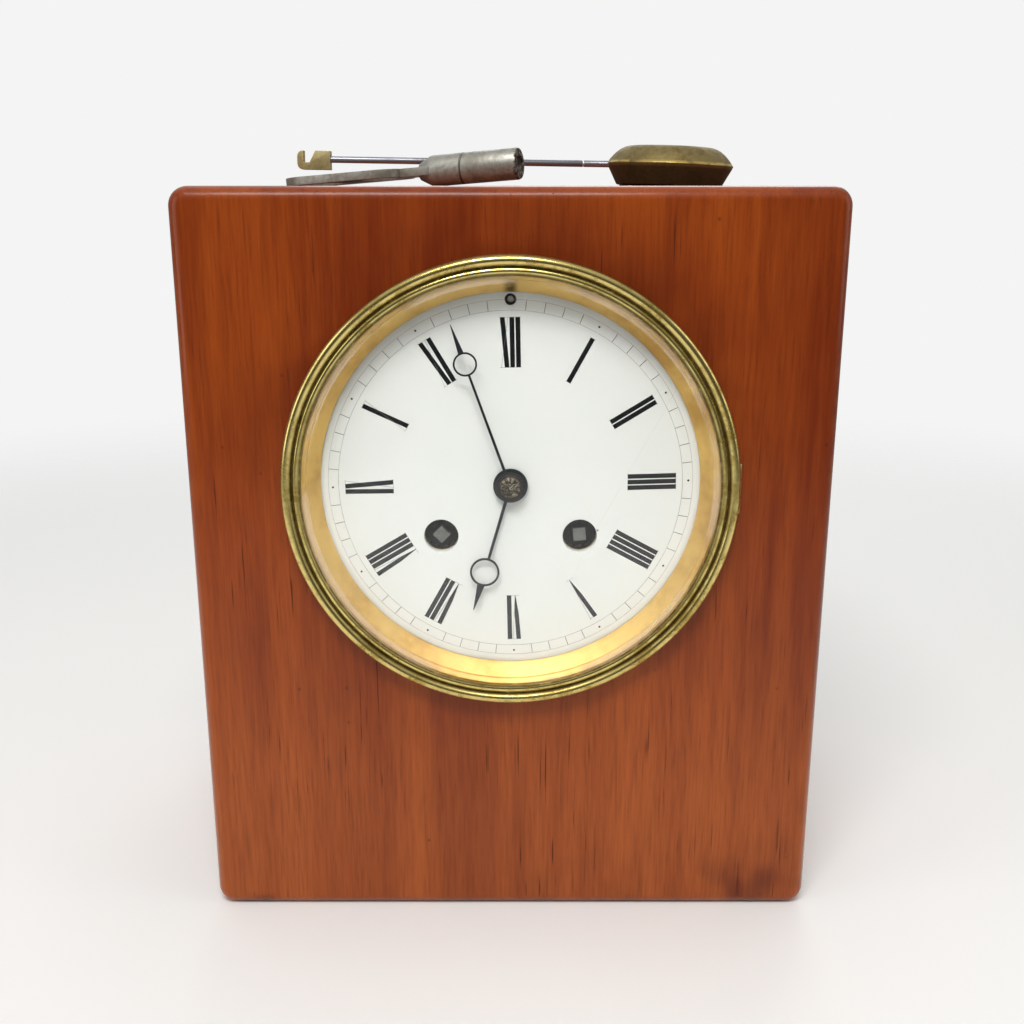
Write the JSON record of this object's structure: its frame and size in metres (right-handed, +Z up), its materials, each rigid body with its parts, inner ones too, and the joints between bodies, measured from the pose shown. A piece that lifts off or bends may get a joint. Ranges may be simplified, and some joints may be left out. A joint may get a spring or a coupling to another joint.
{
  "type": "mantel clock",
  "caption": "Plain timber mantel clock with a hinged brass bezel, white enamel dial and pendulum movement, its loose pendulum and key lying on top.",
  "frame": {"origin": "middle of the case's underside, in the surface that the clock stands on", "axes": "+Z up, the dial faces -Y, +X is to the right of someone looking at the dial"},
  "size_m": [0.17, 0.1258, 0.2134],
  "materials": {
    "timber": "red-brown varnished timber with dark pores, glossy",
    "inner_timber": "plain unpolished timber",
    "brass": "aged lacquered brass with dark speckles in the grooves",
    "movement_brass": "brushed brass",
    "gilt_brass": "polished gilt brass",
    "steel": "worn grey steel",
    "blued_steel": "near-black blued steel",
    "enamel": "cool white vitreous enamel, glossy",
    "glass": "clear bevelled glass",
    "bell_metal": "turned bell metal"
  },
  "bodies": {
    "case": {"front_board": "timber", "top_board": "timber", "bottom_board": "timber", "left_side_board": "timber", "right_side_board": "timber", "back_board": "inner_timber", "dial_ring": "brass", "bezel_hinge_pin": "steel", "dial_plate": "movement_brass", "enamel_dial": "enamel", "front_plate": "movement_brass", "back_plate": "movement_brass", "pillar_lower_left": "movement_brass", "pillar_lower_right": "movement_brass", "pillar_upper_left": "movement_brass", "pillar_upper_right": "movement_brass", "back_cock": "movement_brass", "suspension_spring": "steel", "bell": "bell_metal", "bell_stand": "steel", "bell_nut": "movement_brass", "rear_ring": "brass", "rear_door_hinge_pin": "steel", "strap_screw_left": "blued_steel", "strap_screw_right": "blued_steel"},
    "bezel": {"bezel_ring": "brass", "bezel_glass": "glass", "sight_ring": "gilt_brass"},
    "back_door": {"rear_door": "brass"},
    "minute_hand_group": {"minute_hand": "blued_steel", "hand_collet": "brass", "cannon_pinion": "steel"},
    "hour_hand_group": {"hour_hand": "blued_steel", "hour_wheel": "movement_brass"},
    "minute_wheel_body": {"minute_wheel": "movement_brass"},
    "third_wheel_body": {"third_wheel": "movement_brass"},
    "centre_wheel_body": {"centre_wheel": "movement_brass"},
    "intermediate_wheel_body": {"intermediate_wheel": "movement_brass"},
    "going_barrel_body": {"going_barrel": "movement_brass", "going_mainspring": "blued_steel"},
    "escape_wheel_body": {"escape_wheel": "movement_brass"},
    "pallets_body": {"pallets_and_crutch": "steel"},
    "suspension_block_body": {"suspension_block": "movement_brass"},
    "going_arbor_body": {"going_winding_arbor": "steel"},
    "strike_arbor_body": {"strike_winding_arbor": "steel"},
    "warning_wheel_body": {"warning_wheel": "movement_brass"},
    "pin_wheel_body": {"pin_wheel": "movement_brass"},
    "second_wheel_body": {"strike_second_wheel": "movement_brass"},
    "strike_barrel_body": {"strike_barrel": "movement_brass", "strike_mainspring": "blued_steel"},
    "fly_body": {"fly": "movement_brass"},
    "hammer_body": {"hammer": "steel"},
    "regulator_arbor_body": {"regulator_arbor": "steel"},
    "regulator_screw_body": {"regulator_screw": "steel"},
    "regulator_slider_body": {"regulator_slider": "movement_brass"},
    "pendulum": {"pendulum_rod": "steel", "pendulum_bob": "brass", "pendulum_hook": "brass", "bob_clamp_screw": "steel"},
    "key": {"winding_key": "steel"}
  },
  "joints": [
    {"name": "bezel_hinge", "type": "hinge", "parent": "case", "child": "bezel", "pos_m": [0.0591, -0.0587, 0.125], "axis": [0, 0, 1], "range_deg": [0, 110]},
    {"name": "rear_door_hinge", "type": "hinge", "parent": "case", "child": "back_door", "pos_m": [-0.0474, 0.0601, 0.125], "axis": [0, 0, 1], "range_deg": [0, 110]},
    {"name": "minute_hand_turn", "type": "hinge", "parent": "case", "child": "minute_hand_group", "pos_m": [0, 0, 0.125], "axis": [0, 1, 0], "continuous": true},
    {"name": "hour_hand_turn", "type": "hinge", "parent": "case", "child": "hour_hand_group", "pos_m": [0, 0, 0.125], "axis": [0, 1, 0], "continuous": true},
    {"name": "minute_wheel_turn", "type": "hinge", "parent": "case", "child": "minute_wheel_body", "pos_m": [0, 0, 0.1154], "axis": [0, 1, 0], "continuous": true},
    {"name": "third_wheel_turn", "type": "hinge", "parent": "case", "child": "third_wheel_body", "pos_m": [0.00214, 0, 0.13712], "axis": [0, 1, 0], "continuous": true},
    {"name": "centre_wheel_turn", "type": "hinge", "parent": "case", "child": "centre_wheel_body", "pos_m": [0, 0, 0.125], "axis": [0, 1, 0], "continuous": true},
    {"name": "intermediate_wheel_turn", "type": "hinge", "parent": "case", "child": "intermediate_wheel_body", "pos_m": [0.01211, 0, 0.12946], "axis": [0, 1, 0], "continuous": true},
    {"name": "going_barrel_turn", "type": "hinge", "parent": "case", "child": "going_barrel_body", "pos_m": [0.0185, 0, 0.11085], "axis": [0, 1, 0], "continuous": true},
    {"name": "escape_wheel_turn", "type": "hinge", "parent": "case", "child": "escape_wheel_body", "pos_m": [0, 0, 0.14783], "axis": [0, 1, 0], "continuous": true},
    {"name": "pallet_swing", "type": "hinge", "parent": "case", "child": "pallets_body", "pos_m": [0, 0, 0.15983], "axis": [0, 1, 0], "range_deg": [-4, 4]},
    {"name": "suspension_swing", "type": "hinge", "parent": "case", "child": "suspension_block_body", "pos_m": [0, 0.007, 0.15983], "axis": [0, 1, 0], "range_deg": [-4, 4]},
    {"name": "going_winding", "type": "hinge", "parent": "case", "child": "going_arbor_body", "pos_m": [0.0185, 0, 0.11085], "axis": [0, 1, 0], "range_deg": [0, 1620]},
    {"name": "strike_winding", "type": "hinge", "parent": "case", "child": "strike_arbor_body", "pos_m": [-0.0185, 0, 0.11085], "axis": [0, 1, 0], "range_deg": [0, 1620]},
    {"name": "warning_wheel_turn", "type": "hinge", "parent": "case", "child": "warning_wheel_body", "pos_m": [-0.0094, 0, 0.15076], "axis": [0, 1, 0], "continuous": true},
    {"name": "pin_wheel_turn", "type": "hinge", "parent": "case", "child": "pin_wheel_body", "pos_m": [-0.01435, 0, 0.14218], "axis": [0, 1, 0], "continuous": true},
    {"name": "second_wheel_turn", "type": "hinge", "parent": "case", "child": "second_wheel_body", "pos_m": [-0.01211, 0, 0.12946], "axis": [0, 1, 0], "continuous": true},
    {"name": "strike_barrel_turn", "type": "hinge", "parent": "case", "child": "strike_barrel_body", "pos_m": [-0.0185, 0, 0.11085], "axis": [0, 1, 0], "continuous": true},
    {"name": "fly_turn", "type": "hinge", "parent": "case", "child": "fly_body", "pos_m": [-0.0129, 0, 0.15683], "axis": [0, 1, 0], "continuous": true},
    {"name": "hammer_lift", "type": "hinge", "parent": "case", "child": "hammer_body", "pos_m": [-0.03, 0, 0.131], "axis": [0, 1, 0], "range_deg": [0, 20]},
    {"name": "regulator_turn", "type": "hinge", "parent": "case", "child": "regulator_arbor_body", "pos_m": [0, 0, 0.1732], "axis": [0, 1, 0], "range_deg": [-720, 720]},
    {"name": "regulator_screw_turn", "type": "hinge", "parent": "case", "child": "regulator_screw_body", "pos_m": [0, 0.0026, 0.16751], "axis": [0, 0, 1], "range_deg": [-468, 468]},
    {"name": "regulator_slide", "type": "slide", "parent": "case", "child": "regulator_slider_body", "axis": [0, 0, 1], "range_m": [-0.001, 0.001]},
    {"name": "pendulum_lift", "type": "slide", "parent": "case", "child": "pendulum", "axis": [0, 0, 1], "range_m": [0, 0.12]},
    {"name": "key_lift", "type": "slide", "parent": "case", "child": "key", "axis": [0, 0, 1], "range_m": [0, 0.12]}
  ],
  "couplings": [
    {"joint": "hour_hand_turn", "follows": "minute_hand_turn", "ratio": 0.083333},
    {"joint": "minute_wheel_turn", "follows": "minute_hand_turn", "ratio": -0.33333},
    {"joint": "centre_wheel_turn", "follows": "third_wheel_turn", "ratio": -0.1},
    {"joint": "intermediate_wheel_turn", "follows": "third_wheel_turn", "ratio": 0.016667},
    {"joint": "going_barrel_turn", "follows": "third_wheel_turn", "ratio": -0.002381},
    {"joint": "escape_wheel_turn", "follows": "third_wheel_turn", "ratio": -12},
    {"joint": "suspension_swing", "follows": "pallet_swing", "ratio": 1},
    {"joint": "pin_wheel_turn", "follows": "warning_wheel_turn", "ratio": -0.125},
    {"joint": "second_wheel_turn", "follows": "warning_wheel_turn", "ratio": 0.020833},
    {"joint": "strike_barrel_turn", "follows": "warning_wheel_turn", "ratio": -0.0029762},
    {"joint": "fly_turn", "follows": "warning_wheel_turn", "ratio": -7},
    {"joint": "regulator_turn", "follows": "regulator_slide", "rad_per_m": 12566},
    {"joint": "regulator_screw_turn", "follows": "regulator_slide", "rad_per_m": -8168.1}
  ]
}
